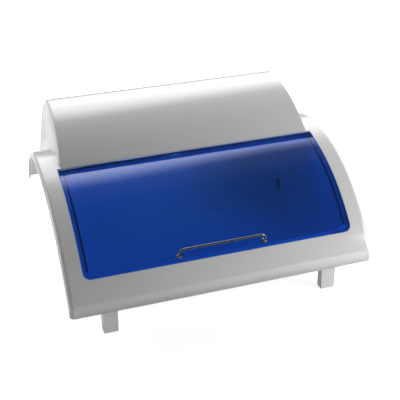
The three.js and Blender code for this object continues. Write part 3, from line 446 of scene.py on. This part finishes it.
BRIGHTNESS = 4.3
foot_edge, top_edge = Vector((0.35, 1.35, 0.45)), Vector((0.35, 0.35, 1.505))
data = bpy.data.lights.new("rear_softbox", "AREA")
data.shape = "RECTANGLE"
data.size, data.size_y = 1.9, (top_edge - foot_edge).length
data.energy = BRIGHTNESS * math.pi * data.size * data.size_y
data.use_nodes = True
tree = data.node_tree
tree.nodes.clear()
spot = add(tree, "NewGeometry", {}, {}).outputs["Parametric"]
halves = add(tree, "SeparateXYZ", {}, {"Vector": spot})
lean = add(tree, "MapRange", {}, {
    "Value": halves.outputs["X"], "From Min": 0.62, "From Max": 0.38,
    "To Min": 0.0, "To Max": 0.09})
height = add(tree, "Math", {"operation": "ADD"}, {
    0: halves.outputs["Y"], 1: lean.outputs["Result"]})
upward = add(tree, "MapRange", {"interpolation_type": "SMOOTHSTEP"}, {
    "Value": height.outputs[0], "From Min": 0.54, "From Max": 0.86, "To Min": 1.0, "To Max": 0.0})
downward = add(tree, "MapRange", {"interpolation_type": "SMOOTHSTEP"}, {
    "Value": halves.outputs["Y"], "From Min": 0.0, "From Max": 0.26, "To Min": 0.1, "To Max": 1.0})
strength = add(tree, "Math", {"operation": "MULTIPLY"}, {
    0: upward.outputs["Result"], 1: downward.outputs["Result"]})
glowing = add(tree, "Emission", {}, {"Strength": strength.outputs[0]})
add(tree, "OutputLight", {}, {"Surface": glowing.outputs[0]})
along = (top_edge - foot_edge).normalized()
across = Vector((-1, 0, 0))
turned("rear_softbox", data, (foot_edge + top_edge) / 2, across, along)
print("softbox", round(data.size_y, 2), "m tall, power", round(data.energy, 1), "W")

# %% [markdown]
# ## The small lamps
#
# The cabinet's own lamp is faint in daylight: a weak strip under its window lifts the
# inside a little. A lamp at the left fills that end, and two at the right front make the
# skirt brighter towards the right.

# %% The lamp's own light
GLOW_LENGTH, GLOW_WIDTH = 0.2, 0.012
GLOW_DROP = 0.012
GLOW_WATTS = 0.012
low, high = (Vector(v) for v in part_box("lamp_window"))
data = bpy.data.lights.new("chamber_glow", "AREA")
data.shape = "RECTANGLE"
data.size, data.size_y = GLOW_LENGTH, GLOW_WIDTH
data.energy = GLOW_WATTS
under_window = Vector(((low.x + high.x) / 2, (low.y + high.y) / 2, low.z - GLOW_DROP))
glow = turned("chamber_glow", data, under_window, Vector((1, 0, 0)), Vector((0, 1, 0)))
glow.visible_glossy = False
glow.visible_transmission = False
print("chamber glow at", [round(v, 3) for v in glow.location])


# %% Lamps at the sides
def area_lamp(name, centre, target, size, power):
    data = bpy.data.lights.new(name, "AREA")
    data.shape = "SQUARE"
    data.size = size
    data.energy = power
    facing = (Vector(centre) - Vector(target)).normalized()
    across = Vector((0, 0, 1)).cross(facing).normalized()
    return turned(name, data, Vector(centre), across, facing.cross(across))


area_lamp("left_fill", (-1.3, 0.35, 0.45), (-0.15, 0.0, 0.12), 0.8, 6.6)
area_lamp("right_near", (0.65, -0.6, 0.35), (0.2, -0.1, 0.1), 0.3, 3.5)
area_lamp("right_fill", (1.2, -0.9, 0.6), (0.1, -0.05, 0.1), 0.6, 3.2)

# %% [markdown]
# ## The camera
#
# The camera's place was worked out from the cabinet's edges in the photograph: it looks
# from the front left and from above, through a fairly long lens. The focal length and the
# aim are in pixels of a picture 400 pixels wide.

# %% Place the camera
IMAGE_WIDTH, SENSOR_WIDTH = 400, 36
FOCAL, ROUND, DOWN, ROLL = 864.5, math.radians(17.86), math.radians(28.60), math.radians(-0.86)
DISTANCE, AIM_X, AIM_Y = 1.0852, 28.1, 88.9
BAND_MIDDLE = 0.044  # height of the point on the front band that the aim starts from
forward = Vector((math.sin(ROUND) * math.cos(DOWN), math.cos(ROUND) * math.cos(DOWN),
                  -math.sin(DOWN)))
level_right = Vector((math.cos(ROUND), -math.sin(ROUND), 0))
level_up = level_right.cross(forward)
right = level_right * math.cos(ROLL) + level_up * math.sin(ROLL)
up = level_up * math.cos(ROLL) - level_right * math.sin(ROLL)
target = Vector((0, -DEPTH / 2, BAND_MIDDLE))
metres_per_pixel = DISTANCE / FOCAL
centre = (target - forward * DISTANCE - right * AIM_X * metres_per_pixel
          + up * AIM_Y * metres_per_pixel)
lens = bpy.data.cameras.new("photo_camera")
lens.sensor_width = SENSOR_WIDTH
lens.lens = FOCAL * SENSOR_WIDTH / IMAGE_WIDTH
camera = placed("photo_camera", lens)
camera.matrix_world = stance(right, up, -forward, centre)
bpy.context.scene.camera = camera
bpy.context.scene.view_settings.view_transform = "Standard"
print("camera at", [round(v, 3) for v in centre], "lens", round(lens.lens, 1))
